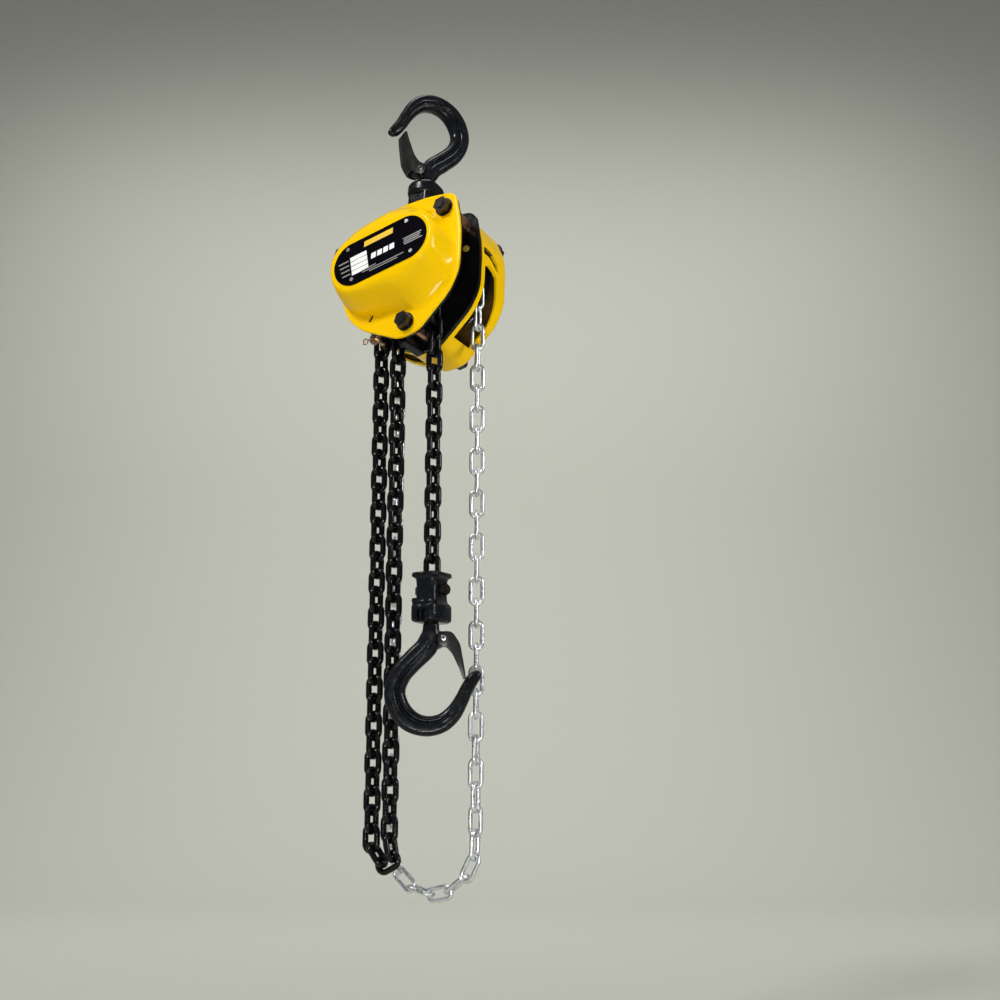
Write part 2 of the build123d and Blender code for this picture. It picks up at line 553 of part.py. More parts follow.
# ================================================================ hook
HOOK_C = -67.6      # bowl centre below the pin
SECT = [  # centre x, centre z, in-plane width, thickness, direction of travel (deg)
    (0.0, 43.0, 9.2, 9.2, -90), (-0.3, 37.0, 13.0, 10.0, -95), (-3.2, 29.6, 14.6, 10.4, -118),
    (-11.5, 21.0, 14.2, 10.6, -137), (-19.4, 11.4, 14.0, 10.8, -118), (-23.2, 0.2, 14.0, 11.0, -92),
    (-21.2, -10.0, 14.6, 11.4, -66), (-15.6, -18.2, 14.6, 11.6, -42), (-8.2, -22.8, 13.8, 11.6, -20),
    (0.2, -23.9, 13.2, 11.2, 4), (8.6, -21.2, 12.4, 10.6, 30), (15.2, -14.9, 11.2, 10.0, 52),
    (20.0, -6.6, 9.6, 9.2, 62), (23.6, 1.4, 8.8, 8.4, 62), (27.2, 7.6, 8.8, 7.4, 52), (30.4, 11.4, 6.6, 6.0, 44)]


PIVOT_Z = 35.8      # latch pin over the bowl centre


def squashed(z, k):
    return PIVOT_Z - (PIVOT_Z - z) * k if z < PIVOT_Z else z


def hook_solid(k):
    faces = []
    for x, z, w, t, d in SECT:
        z = squashed(z, k)
        u = Vector(cos(radians(d)), 0, sin(radians(d)))
        pl = Plane(Vector(x, 0, z + HOOK_C), x_dir=(0, 1, 0), z_dir=u)
        faces.append(pl * Ellipse(t / 2, w / 2).face())
    h = loft(faces)
    tipx, tipz, _, _, d = SECT[-1]
    tipz = squashed(tipz, k)
    h += Pos(tipx, 0, tipz + HOOK_C) * Rot(0, -d, 0) * scale(Sphere(1.0), (2.6, 3.0, 3.3))
    h += cyl_z(0, 0, 4.5, 43.0 + HOOK_C - 0.3, -9.9 - 2)
    h += fillet(cyl_z(0, 0, 8.0, -18.6, -10.0).edges(), 0.8)
    boss = cyl_y(8.5, 35.8 + HOOK_C, 4.6, -3.4, 3.4)
    arm = extrude(Plane.XZ * Face(Wire.make_polygon([Vector(1.0, 41.0 + HOOK_C, 0), Vector(9.2, 40.3 + HOOK_C, 0),
                                                     Vector(9.5, 31.3 + HOOK_C, 0), Vector(0.5, 27 + HOOK_C, 0)],
                                                    close=True)), 3.4, both=True)
    h = h + arm + boss
    h -= cyl_y(8.5, 35.8 + HOOK_C, 1.55, -20, 20)
    return h


def latch_solid(k):
    zc = HOOK_C
    pts = [(8.5, 40.3), (12.6, 40.0), (18.6, 32.6), (21.4, 21.4), (22.6, 11.6), (20.6, 7.2), (17.4, 15.8),
           (13.0, 24.8), (8.0, 31.3)]
    f = Plane.XZ * Face(Wire.make_polygon([Vector(x, squashed(z, k) + zc, 0) for x, z in pts], close=True))
    s = extrude(f, 5.2, both=True) + cyl_y(8.5, 35.8 + zc, 4.5, -5.2, 5.2)
    ins = [(-5.0, 44.0), (7.9, 44.5), (11.8, 39.6), (17.5, 32.0), (20.2, 21.4), (21.4, 11.6), (22.4, 2.0),
           (5.0, 5.0), (-6.0, 20.0)]
    c = extrude(Plane.XZ * Face(Wire.make_polygon([Vector(x, squashed(z, k) + zc, 0) for x, z in ins], close=True)),
                4.1, both=True)
    s -= c
    s -= cyl_y(8.5, 35.8 + zc, 1.55, -20, 20)
    return s


def hook_rivet():
    zc = HOOK_C
    return (cyl_y(8.5, 35.8 + zc, 1.5, -5.9, 5.9) + cyl_y(8.5, 35.8 + zc, 2.8, -6.3, -5.3)
            + cyl_y(8.5, 35.8 + zc, 2.8, 5.3, 6.3))


def spring_solid():
    zc = HOOK_C
    a1 = cyl_y(8.5, 35.8 + zc, 3.2, 3.46, 4.0) - cyl_y(8.5, 35.8 + zc, 1.75, 3, 5)
    leg = Pos(12.6, 3.73, 30.3 + zc) * Rot(0, 53, 0) * Box(9.0, 0.5, 0.8)
    return a1 + leg



# ================================================================ chains
E1 = Vector(1, 0, 0)


def on_wheel(c, rad, deg):
    return c + E1 * (rad * cos(radians(deg))) + HZ * (rad * sin(radians(deg)))


ROWY = Vector(0, 1, 0)
hv, hf = degrees(atan2(4.0, sqrt(LOAD_PIVOT_R ** 2 - 16))), degrees(atan2(8.0, sqrt(LOAD_PIVOT_R ** 2 - 64)))
wheel_deg = [-hv, hv, hv + 2 * hf, 3 * hv + 2 * hf, 3 * hv + 4 * hf, 5 * hv + 4 * hf]
over = [on_wheel(C_LOAD, LOAD_PIVOT_R, d) for d in wheel_deg]
links = run_links(over, "V", LC, BY)
drop_r = hang(over[0], "FVFVFV", LC)
drop_l = hang(over[-1], "FVFVFV", LC)
links += run_links(drop_r, "F", LC, ROWY) + run_links(drop_l, "F", LC, ROWY)
anchor_drop = hang(anchor_row, "VFV", LC)
links += run_links(anchor_drop, "V", LC, ROWY)
save("load_chain_over_sheave", links)

top_link = hang(drop_r[-1], "F", LC)
save("hook_chain_top_link", run_links(top_link, "F", LC, ROWY))
strand = hang(top_link[-1], "VF" * 6, LC)
save("hook_chain", run_links(strand, "V", LC, ROWY))
PIN = strand[-1] + Vector(0, 0, LC["d"] / 2 + 2.5 + 0.04)

slack = hang(drop_l[-1], "FV" * 13, LC)
tail = hang(anchor_drop[-1], "FV" * 13, LC)
turn = u_turn(slack[-1], tail[-1], "FVF", LC)
save("load_chain_loop", run_links(slack, "F", LC, ROWY) + run_links(turn, "F", LC, ROWY)
     + run_links(tail, "F", LC, ROWY))

wv, wf = 10.24, 15.468
deg, hd = [], 90 - HAND_PHASE - wf - 2 * wv - 2 * wf - 2 * wv
for k in "VFVFVFV":
    deg.append(hd)
    hd += 2 * (wv if k == "V" else wf)
deg.append(hd)
hand_over = [on_wheel(C_HAND, HAND_PIVOT_R, d) for d in deg]
hl = run_links(hand_over, "V", HC, BY)
hr = hang(hand_over[0], "FVFVFV", HC)
hleft = hang(hand_over[-1], "FVFVFV", HC)
twist_in = [HAND_TWIST * q for q in (0.0, 0.1, 0.25, 0.45, 0.72, 1.0)]
twist_out = [HAND_TWIST] * 14 + [HAND_TWIST * (5 - i) / 6 for i in range(6)]
save("hand_chain_over_wheel", hl + run_links(hr, "F", HC, ROWY, twist_in)
     + run_links(hleft, "F", HC, ROWY, twist_in))
hr2 = hang(hr[-1], "FV" * 10, HC)
hl2 = hang(hleft[-1], "FV" * 10, HC)
hturn = u_turn(hr2[-1], hl2[-1], "FVFVFVF", HC)
save("hand_chain_loop", run_links(hr2, "F", HC, ROWY, twist_out) + run_links(hturn, "F", HC, ROWY)
     + run_links(hl2, "F", HC, ROWY, twist_out))

# ================================================================ top yoke and hook, lower block and hook
UP = YOKE * Rot(0, 180, 0)
for name, sg in (("top_yoke_left", 1), ("top_yoke_right", -1)):
    save(name, UP * with_screws(block(sg, True), True))
save("top_yoke_screws", [UP * q for q in screws(True)])
TOP = YOKE * Rot(0, 0, TOP_YAW) * Rot(0, 180, 0) * Pos(0, 0, -YOKE_RISE)
save("top_hook", TOP * hook_solid(1.0))
save("top_latch", TOP * latch_solid(1.0))
save("top_latch_rivet", TOP * hook_rivet())
save("top_latch_spring", TOP * spring_solid())

LOW = Location(PIN)
for name, sg in (("lower_block_left", -1), ("lower_block_right", 1)):
    save(name, LOW * with_screws(block(sg, False), False))
save("lower_block_screws", [LOW * q for q in screws(False)])
pin = cyl_x(0, 0, 2.5, -11.4, 13.2) + (Pos(-10.6, 0, 0) * Rot(0, 90, 0) * extrude(RegularPolygon(4.4, 6), 1.6))
save("chain_pin", LOW * pin)
nut = Pos(9.0, 0, 0) * Rot(0, 90, 0) * extrude(RegularPolygon(4.0, 6), 3.0)
save("chain_pin_nut", LOW * (nut - cyl_x(0, 0, 2.52, 0, 20)))
BOTTOM = LOW * Rot(0, 0, LOWER_YAW)
save("lower_hook", BOTTOM * hook_solid(LOWER_SQUASH))
save("lower_latch", BOTTOM * latch_solid(LOWER_SQUASH))
save("lower_latch_rivet", BOTTOM * hook_rivet())
save("lower_latch_spring", BOTTOM * spring_solid())
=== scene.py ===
import bmesh
import bpy
import json
import math
from math import sin, cos, radians, pi
from mathutils import Vector, Matrix


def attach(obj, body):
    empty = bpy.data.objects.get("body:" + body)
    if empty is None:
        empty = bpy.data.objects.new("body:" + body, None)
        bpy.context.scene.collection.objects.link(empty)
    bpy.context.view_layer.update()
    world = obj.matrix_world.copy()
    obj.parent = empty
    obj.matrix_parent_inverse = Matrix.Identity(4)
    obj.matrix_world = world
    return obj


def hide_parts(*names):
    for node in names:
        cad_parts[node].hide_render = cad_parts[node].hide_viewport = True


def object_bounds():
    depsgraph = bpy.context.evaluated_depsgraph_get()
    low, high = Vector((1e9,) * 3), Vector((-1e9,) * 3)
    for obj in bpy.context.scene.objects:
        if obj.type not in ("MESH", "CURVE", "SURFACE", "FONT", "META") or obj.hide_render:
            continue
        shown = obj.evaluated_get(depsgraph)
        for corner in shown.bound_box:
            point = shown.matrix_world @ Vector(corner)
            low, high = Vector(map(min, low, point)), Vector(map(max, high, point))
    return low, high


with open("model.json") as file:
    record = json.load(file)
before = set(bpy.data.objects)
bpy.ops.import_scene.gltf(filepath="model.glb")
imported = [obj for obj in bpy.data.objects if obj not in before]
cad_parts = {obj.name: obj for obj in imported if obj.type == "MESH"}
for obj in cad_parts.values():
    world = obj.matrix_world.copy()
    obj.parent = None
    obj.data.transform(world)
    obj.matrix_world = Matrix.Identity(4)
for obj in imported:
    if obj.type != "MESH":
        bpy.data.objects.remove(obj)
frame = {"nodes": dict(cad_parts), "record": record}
cad_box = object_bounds()
NODES = frame["nodes"]
RECORD = frame["record"]


# ------------------------------------------------------------------ body axes, read from the record
def joint(name):
    return next(j for j in RECORD["behaviour"]["joints"] if j["name"] == name)


BY = Vector(joint("load_sheave_spin")["axis"]).normalized()      # axle, towards the hand wheel
HZ = Vector(joint("top_hook_swivel")["axis"]).normalized()
ARM = Vector(joint("intermediate_right_spin")["pos_m"]) - Vector(joint("intermediate_left_spin")["pos_m"])
BX = ARM.normalized()                                            # along the cover's face
BZ = BX.cross(BY).normalized()
AXLE_X, AXLE_Z, Y_LOAD = 7.0, -25.0, 13.2                        # mm, in the body's own axes
O_ROW = Vector(joint("load_sheave_spin")["pos_m"]) - (BX * AXLE_X + BY * Y_LOAD + BZ * AXLE_Z) * 0.001


def at(x, y, z):
    """a point given in the body's axes in mm, in the row frame in metres"""
    return O_ROW + (BX * x + BY * y + BZ * z) * 0.001


# ------------------------------------------------------------------ materials
def nodes_of(name):
    m = bpy.data.materials.new(name)
    m.use_nodes = True
    t = m.node_tree
    return m, t, t.nodes["Principled BSDF"]


def link(t, a, ai, b, bi):
    t.links.new(a.outputs[ai], b.inputs[bi])


def noise(t, coords, scale, detail, rough):
    n = t.nodes.new("ShaderNodeTexNoise")
    n.inputs["Scale"].default_value = scale
    n.inputs["Detail"].default_value = detail
    n.inputs["Roughness"].default_value = rough
    link(t, coords, "Object", n, "Vector")
    return n


def ramp(t, src, low, high):
    """a two-stop ramp; each stop is (position, colour)"""
    r = t.nodes.new("ShaderNodeValToRGB")
    for e, (place, colour) in zip(r.color_ramp.elements, (low, high)):
        e.position = place
        e.color = (*colour, 1)
    link(t, src, "Fac", r, "Fac")
    return r


def grey(v):
    return (v, v, v)


def finish_mat(name, base, rough, metal=0.0, var=0.12, rough_var=0.08, bump=0.0, bump_scale=900.0,
               scale=60.0, spec=0.5):
    """one plain finish; var and rough_var are how far colour and roughness wander about their means"""
    m, t, b = nodes_of(name)
    coords = t.nodes.new("ShaderNodeTexCoord")
    patches = noise(t, coords, scale, 6.0, 0.6)
    darker = tuple(c * (1 - var) for c in base)
    lighter = tuple(min(1.0, c * (1 + var)) for c in base)
    colour = ramp(t, patches, (0.3, darker), (0.68, lighter))
    link(t, colour, "Color", b, "Base Color")
    smears = noise(t, coords, scale * 3.1, 5.0, 0.6)
    smooth, matt = grey(max(0.02, rough - rough_var)), grey(min(1.0, rough + rough_var))
    dull = ramp(t, smears, (0.3, smooth), (0.7, matt))
    link(t, dull, "Color", b, "Roughness")
    b.inputs["Metallic"].default_value = metal
    b.inputs["Specular IOR Level"].default_value = spec
    if bump:
        grain = noise(t, coords, bump_scale, 3.0, 0.6)
        bumps = t.nodes.new("ShaderNodeBump")
        bumps.inputs["Strength"].default_value = bump
        bumps.inputs["Distance"].default_value = 0.0004
        link(t, grain, "Fac", bumps, "Height")
        link(t, bumps, "Normal", b, "Normal")
    return m


MATS = {
    "yellow_enamel": finish_mat("yellow_enamel", (1.0, 0.60, 0.0), 0.13, var=0.02, rough_var=0.03,
                                bump=0.05, bump_scale=1500.0, scale=35.0, spec=0.14),
    "black_paint": finish_mat("black_paint", (0.004, 0.004, 0.005), 0.20, spec=0.25, var=0.3, bump=0.10,
                              bump_scale=1300.0),
    "label_black": finish_mat("label_black", (0.003, 0.0024, 0.0045), 0.36, spec=0.008, var=0.2,
                              rough_var=0.04),
    "bright_steel": finish_mat("bright_steel", (0.72, 0.72, 0.72), 0.24, metal=1.0, var=0.1),
    "zinc_chain": finish_mat("zinc_chain", (0.80, 0.82, 0.84), 0.32, metal=1.0, var=0.14, rough_var=0.1,
                             bump=0.12, bump_scale=700.0, scale=160.0),
    "black_chain": finish_mat("black_chain", (0.003, 0.003, 0.004), 0.15, var=0.35, spec=0.28,
                              rough_var=0.12, bump=0.16, bump_scale=700.0, scale=150.0),
    "coppered_steel": finish_mat("coppered_steel", (0.60, 0.34, 0.22), 0.30, metal=1.0, var=0.25),
    "machined_steel": finish_mat("machined_steel", (0.42, 0.42, 0.43), 0.36, metal=1.0, var=0.15),
    "friction_lining": finish_mat("friction_lining", (0.12, 0.075, 0.045), 0.85, var=0.3, bump=0.3),
    "bronze_bush": finish_mat("bronze_bush", (0.56, 0.36, 0.13), 0.32, metal=1.0, var=0.12),
    "forged_black": finish_mat("forged_black", (0.003, 0.004, 0.006), 0.25, var=0.45, spec=0.26,
                               rough_var=0.14, bump=0.35, bump_scale=420.0, scale=90.0),
    "latch_steel": finish_mat("latch_steel", (0.012, 0.012, 0.011), 0.30, metal=0.1, var=0.25, bump=0.15),
    "black_nut": finish_mat("black_nut", (0.010, 0.006, 0.005), 0.20, var=0.3, bump=0.12),
    "spring_steel": finish_mat("spring_steel", (0.45, 0.45, 0.47), 0.28, metal=1.0),
    "tan_zinc": finish_mat("tan_zinc", (0.60, 0.44, 0.30), 0.32, metal=1.0, var=0.2, bump=0.1),
    "worn_rivet": finish_mat("worn_rivet", (0.20, 0.19, 0.17), 0.42, metal=1.0, var=0.3, bump=0.1),
    "brass": finish_mat("brass", (0.95, 0.62, 0.10), 0.35, metal=0.35, var=0.08),
    # the rear cover's inside: a dark brown painted shade for the shadow inside the cover
    "shell_inside_painted_shade": finish_mat("shell_inside_painted_shade", (0.16, 0.085, 0.02), 0.6, var=0.3, spec=0.2),
    "print_white": finish_mat("print_white", (0.95, 0.95, 0.94), 0.4, var=0.03),
    "print_yellow": finish_mat("print_yellow", (0.90, 0.56, 0.01), 0.4, var=0.03),
    "print_grey": finish_mat("print_grey", (0.30, 0.30, 0.30), 0.5, var=0.1),
}
OWN_FINISH = {  # nodes seen in another finish than their slot's
    "pawl_pins": "black_paint",
    "anchor_pin": "tan_zinc",
    "anchor_cotter": "tan_zinc",
    "plate_rivets": "brass",
}
for sub in RECORD["subparts"]:
    obj = NODES[sub["node"]]
    obj.data.materials.clear()
    obj.data.materials.append(MATS[OWN_FINISH.get(sub["node"], sub["material_slot"])])


# ------------------------------------------------------------------ mesh helpers
def mesh_object(name, verts, faces, material, smooth=True):
    me = bpy.data.meshes.new(name)
    me.from_pydata([tuple(v) for v in verts], [], faces)
    me.validate()
    ob = bpy.data.objects.new(name, me)
    bpy.context.scene.collection.objects.link(ob)
    me.materials.append(MATS[material])
    if smooth:
        for f in me.polygons:
            f.use_smooth = True
    return ob


def apply_modifiers(ob):
    dg = bpy.context.evaluated_depsgraph_get()
    me = bpy.data.meshes.new_from_object(ob.evaluated_get(dg))
    ob.modifiers.clear()
    old, ob.data = ob.data, me
    bpy.data.meshes.remove(old)
    for f in me.polygons:
        f.use_smooth = True


def sharp_by_angle(ob, deg):
    bm = bmesh.new()
    bm.from_mesh(ob.data)
    for e in bm.edges:
        if len(e.link_faces) == 2 and e.calc_face_angle(0.0) > radians(deg):
            e.smooth = False
    bm.to_mesh(ob.data)
    bm.free()


def face_outwards(ob):
    bm = bmesh.new()
    bm.from_mesh(ob.data)
    bmesh.ops.recalc_face_normals(bm, faces=bm.faces)
    bm.to_mesh(ob.data)
    bm.free()


def gathered(name, parts, material, smooth=True):
    """one mesh object from several (verts in mm, faces) parts"""
    verts, faces = [], []
    for v, f in parts:
        b = len(verts)
        verts += [p * 0.001 for p in v]
        faces += [tuple(i + b for i in q) for q in f]
    ob = mesh_object(name, verts, faces, material, smooth)
    face_outwards(ob)
    return ob


def soft_edges(ob, width, crease_deg):
    """a small bevel along every edge sharper than 40 degrees; width in mm"""
    be = ob.modifiers.new("edges", "BEVEL")
    be.width, be.segments, be.limit_method, be.angle_limit = width * 0.001, 2, "ANGLE", radians(40)
    apply_modifiers(ob)
    sharp_by_angle(ob, crease_deg)


def stands_for(ob, node, rides_on):
    """shows ob in place of a CAD node"""
    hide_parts(node)
    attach(ob, rides_on)


def rounded(pts, n=10):
    """closed outline through corner points (x, z, radius)"""
    out, k = [], len(pts)
    for i in range(k):
        a, b, c = Vector(pts[i - 1][:2]), Vector(pts[i][:2]), Vector(pts[(i + 1) % k][:2])
        u, v, r = (a - b).normalized(), (c - b).normalized(), pts[i][2]
        half = u.angle(v) / 2
        t = r / math.tan(half)
        centre = b + (u + v).normalized() * (r / sin(half))
        p, q = b + u * t - centre, b + v * t - centre
        full = p.angle(q)
        turn = 1 if p.x * q.y - p.y * q.x > 0 else -1
        for j in range(n + 1):
            a2 = turn * full * j / n
            out.append(centre + Vector((p.x * cos(a2) - p.y * sin(a2), p.x * sin(a2) + p.y * cos(a2))))
    return out


def chaikin(pts, times=3):
    """a closed outline with its corners cut again and again until it is smooth"""
    pts = [Vector(p) for p in pts]
    for _ in range(times):
        new = []
        for i, p in enumerate(pts):
            q = pts[(i + 1) % len(pts)]
            new += [p * 0.75 + q * 0.25, p * 0.25 + q * 0.75]
        pts = new
    return pts


def ray_radius(poly, c, a):
    """distance from c to the outline along direction a"""
    d, best = Vector((cos(a), sin(a))), 0.0
    for i, p in enumerate(poly):
        q = poly[(i + 1) % len(poly)]
        e = q - p
        den = d.x * e.y - d.y * e.x
        if abs(den) < 1e-12:
            continue
        w = p - c
        r = (w.x * e.y - w.y * e.x) / den
        s = (w.x * d.y - w.y * d.x) / den
        if -1e-9 <= s <= 1 + 1e-9 and r > best:
            best = r
    return best


def prism(pts, y0, y1):
    """an outline in x and z drawn out along y"""
    k = len(pts)
    verts = [Vector((x, y0, z)) for x, z in pts] + [Vector((x, y1, z)) for x, z in pts]
    faces = [tuple(range(k)), tuple(reversed(range(k, 2 * k)))]
    faces += [(i, i + k, (i + 1) % k + k, (i + 1) % k) for i in range(k)]
    return verts, faces


def cut(ob, cutter):
    """takes the cutter's shape out of ob and removes the cutter"""
    b = ob.modifiers.new("cut", "BOOLEAN")
    b.operation, b.object, b.solver = "DIFFERENCE", cutter, "EXACT"
    apply_modifiers(ob)
    old = cutter.data
    bpy.data.objects.remove(cutter)
    bpy.data.meshes.remove(old)


def flange_outline():
    """the front cover's edge, the same on both sides"""
    half = [(53.3, 9.0, 9), (53.2, -20.0, 120), (46.5, -52.0, 36), (36.5, -65.5, 40), (8.0, -84.8, 18)]
    top = [(-31.0, 15.6, 40), (0.0, 20.4, 90), (31.0, 15.6, 40)]
    return rounded(top + half + [(-x, z, r) for x, z, r in reversed(half)])


# ------------------------------------------------------------------ front cover: a sheet with a raised nose
NOSE = 24.0                                                      # how far the nose stands out, mm
FLANGE_T, EDGE_R, SHEET = 2.0, 0.9, 1.6
FLANGE_LEAST = 2.2                                               # flange left between nose and edge
SEAT_R, SEAT_FADE = 7.4, 4.2                                     # flat left round each stay's washer
BASE = chaikin([(-47, -2), (-38, 8), (-27, 15.5), (-10, 19.0), (5, 18.2), (19, 13.8), (30, 6.5), (37, -5),
                (43.5, -15), (48, -28), (48, -42), (43, -54), (33, -64), (20, -70.5), (9, -70.5), (0, -65.5),
                (-9, -60.5), (-25, -58), (-39, -52), (-48, -41), (-52, -28), (-51.5, -13)])
STAYS = ((43.0, 0.0), (-43.0, 0.0), (0.0, -74.7))
HALF_L, CAP_R, CAP_Z = 22.0, 18.6, -27.9                         # the nose's flat end


def stadium(r, n=40):
    out = []
    for k in range(n):
        a = -pi / 2 + pi * k / (n - 1)
        out.append(Vector((HALF_L + r * cos(a), CAP_Z + r * sin(a))))
    for k in range(n):
        a = pi / 2 + pi * k / (n - 1)
        out.append(Vector((-HALF_L + r * cos(a), CAP_Z + r * sin(a))))
    return out


def crease(a):
    """how sharply the nose meets the flange: near 1 at the top and the left, near 0 at the lower right"""
    d = math.degrees(a) % 360
    keys = [(0, 0.15), (25, 0.55), (50, 0.9), (100, 0.85), (150, 0.8), (190, 0.9), (235, 0.95), (262, 0.6),
            (285, 0.12), (330, 0.05), (360, 0.15)]
    for (p, u), (q, v) in zip(keys, keys[1:]):
        if p <= d <= q:
            return u + (v - u) * (d - p) / (q - p)


def front_cover():
    """rays from a point under the label; each runs over the nose's end, down its side and out to the edge"""
    c = Vector((0.0, -27.0))
    face, rim = stadium(CAP_R), flange_outline()
    rays, verts = 220, [(c.x, -NOSE, c.y)]
    for i in range(rays):
        a = 2 * pi * i / rays
        rf, rb, ro = ray_radius(face, c, a), ray_radius(BASE, c, a), ray_radius(rim, c, a)
        rb = min(rb, ro - FLANGE_LEAST)
        w = crease(a)
        col = [(rf * s, -NOSE) for s in (0.5, 0.8, 0.93, 1.0)]
        for k in range(1, 31):
            s = k / 30
            soft = 0.5 * (1 + cos(pi * s ** 1.12))
            dome = (1 - s ** 2.15) ** 0.92
            h = (NOSE - FLANGE_T) * (soft * (1 - w) + dome * w)
            r = rf + (rb - rf) * s
            for nx, nz in STAYS:
                d = math.hypot(c.x + r * cos(a) - nx, c.y + r * sin(a) - nz)
                t = max(0.0, min(1.0, (d - SEAT_R) / SEAT_FADE))
                h *= t * t * (3 - 2 * t)
            col.append((r, -FLANGE_T - h))
        for s in (0.03, 0.35, 0.7, 1.0):
            col.append((rb + (ro - EDGE_R - rb) * s, -FLANGE_T))
        for k in range(1, 5):
            t = pi / 2 * k / 4
            col.append((ro - EDGE_R + EDGE_R * sin(t), -(FLANGE_T - EDGE_R) - EDGE_R * cos(t)))
        col.append((ro, -0.02))
        verts += [(c.x + r * cos(a), y, c.y + r * sin(a)) for r, y in col]
    m, faces = len(col), []
    for i in range(rays):
        bi, bj = 1 + i * m, 1 + (i + 1) % rays * m
        faces.append((0, bi, bj))
        for k in range(m - 1):
            faces.append((bi + k, bi + k + 1, bj + k + 1, bj + k))
    ob = mesh_object("cover_sheet", [at(*v) for v in verts], faces, "yellow_enamel")
    so = ob.modifiers.new("sheet", "SOLIDIFY")
    so.thickness, so.offset = SHEET * 0.001, -1.0
    apply_modifiers(ob)
    return ob


# ------------------------------------------------------------------ hand wheel cover
CORNER_X, CORNER_Z = 41.5, 13.0
CORNER_DIR = Vector((16.5, 11.1)).normalized()
DRAW_FROM, DRAW_KEEP = -6.0, 0.576                               # start of the drawing in, and share kept
STAY_HOLE_R = 3.4                                                # left round


def rear_cover():
    """a copy of the CAD's hand wheel cover, its upper corners drawn in and its inner faces dark with painted
    shade
    """
    src = NODES["hand_wheel_cover"]
    me = src.data.copy()
    me.transform(src.matrix_world)
    me.name = "rear_shell"
    ob = bpy.data.objects.new("rear_shell", me)
    bpy.context.scene.collection.objects.link(ob)
    for v in me.vertices:
        p = (v.co - O_ROW) * 1000
        x, y, z = p.dot(BX), p.dot(BY), p.dot(BZ)
        sg = 1 if x > 0 else -1
        d = Vector((sg * x - CORNER_X, z - CORNER_Z)).dot(CORNER_DIR)
        if d > DRAW_FROM and math.hypot(sg * x - STAYS[0][0], z) > STAY_HOLE_R:
            shift = (d - DRAW_FROM) * DRAW_KEEP + DRAW_FROM - d
            v.co = at(x + sg * shift * CORNER_DIR.x, y, z + shift * CORNER_DIR.y)
    me.materials.clear()
    me.materials.append(MATS["yellow_enamel"])
    me.materials.append(MATS["shell_inside_painted_shade"])
    # faces turned inwards get the dark painted shade, the rest the yellow enamel
    mid_shell = at(0, 47, -30)
    for f in me.polygons:
        out = (f.center - mid_shell).normalized()
        f.material_index = 1 if f.normal.dot(out) < -0.15 else 0
    return ob


stands_for(rear_cover(), "hand_wheel_cover", "frame")


def slot_cutter(cx, cz, r, half, tilt):
    """a round-ended slot through the flange; tilt in degrees"""
    a, pts = radians(tilt), []
    for k in range(24):
        t = 2 * pi * k / 24
        x, z = r * cos(t) + (half if cos(t) > 0 else -half), r * sin(t)
        pts.append((cx + x * cos(a) - z * sin(a), cz + x * sin(a) + z * cos(a)))
    v, f = prism(pts, -7.0, 1.0)
    return mesh_object("hole", [at(*p) for p in v], f, "black_paint", smooth=False)


cover = front_cover()
cut(cover, slot_cutter(-27.4, -59.6, r=1.5, half=1.5, tilt=50))
sharp_by_angle(cover, 60)
stands_for(cover, "front_cover", "frame")


# ------------------------------------------------------------------ label print: plain generic blocks
PLATE_FACE = -NOSE - 0.6
PRINT_LIFT, PRINT_SINK = 0.05, 0.02


def plate_mark(name, quads, material):
    """flat blocks of print on the label plate"""
    verts, faces = [], []
    for q in quads:
        b = len(verts)
        verts += [at(x, PLATE_FACE + PRINT_SINK, z) for x, z in q]
        verts += [at(x, PLATE_FACE - PRINT_LIFT, z) for x, z in q]
        k = len(q)
        faces += [tuple(b + k + i for i in range(k)), tuple(b + i for i in reversed(range(k)))]
        faces += [(b + i, b + (i + 1) % k, b + k + (i + 1) % k, b + k + i) for i in range(k)]
    ob = mesh_object(name, verts, faces, material, smooth=False)
    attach(ob, "frame")


def bar(x0, x1, z0, z1, slant=0.0):
    return [(x0, z0), (x1, z0), (x1 + slant, z1), (x0 + slant, z1)]


fields = [bar(-24.2, -10.2, -22.4 - 3.75 * k - 3.35, -22.4 - 3.75 * k) for k in range(4)]
plate_mark("label_fields", fields, "print_white")
plate_mark("label_stripe", [bar(-11.8, 12.4, -19.1, -14.9, 0.8)], "print_yellow")
rating = [bar(-7.4 + 5.1 * k, -3.4 + 5.1 * k, -31.2, -27.0, 0.8) for k in range(4)]
plate_mark("label_rating", rating, "print_white")
small = [bar(-34.3 + 0.7 * k, -25.6, -24.6 - 3.6 * k, -23.7 - 3.6 * k) for k in range(4)]
small += [bar(19.6 + 0.6 * (k % 2), 34.6 - 0.9 * (k % 3), -28.4 - 1.5 * k, -27.6 - 1.5 * k) for k in range(4)]
small += [bar(-15.5, 18.8, -38.6, -38.0), bar(-10.0, 13.6, -40.2, -39.6), bar(-16.0, -4.0, -36.9, -36.3)]
plate_mark("label_lines", small, "print_grey")


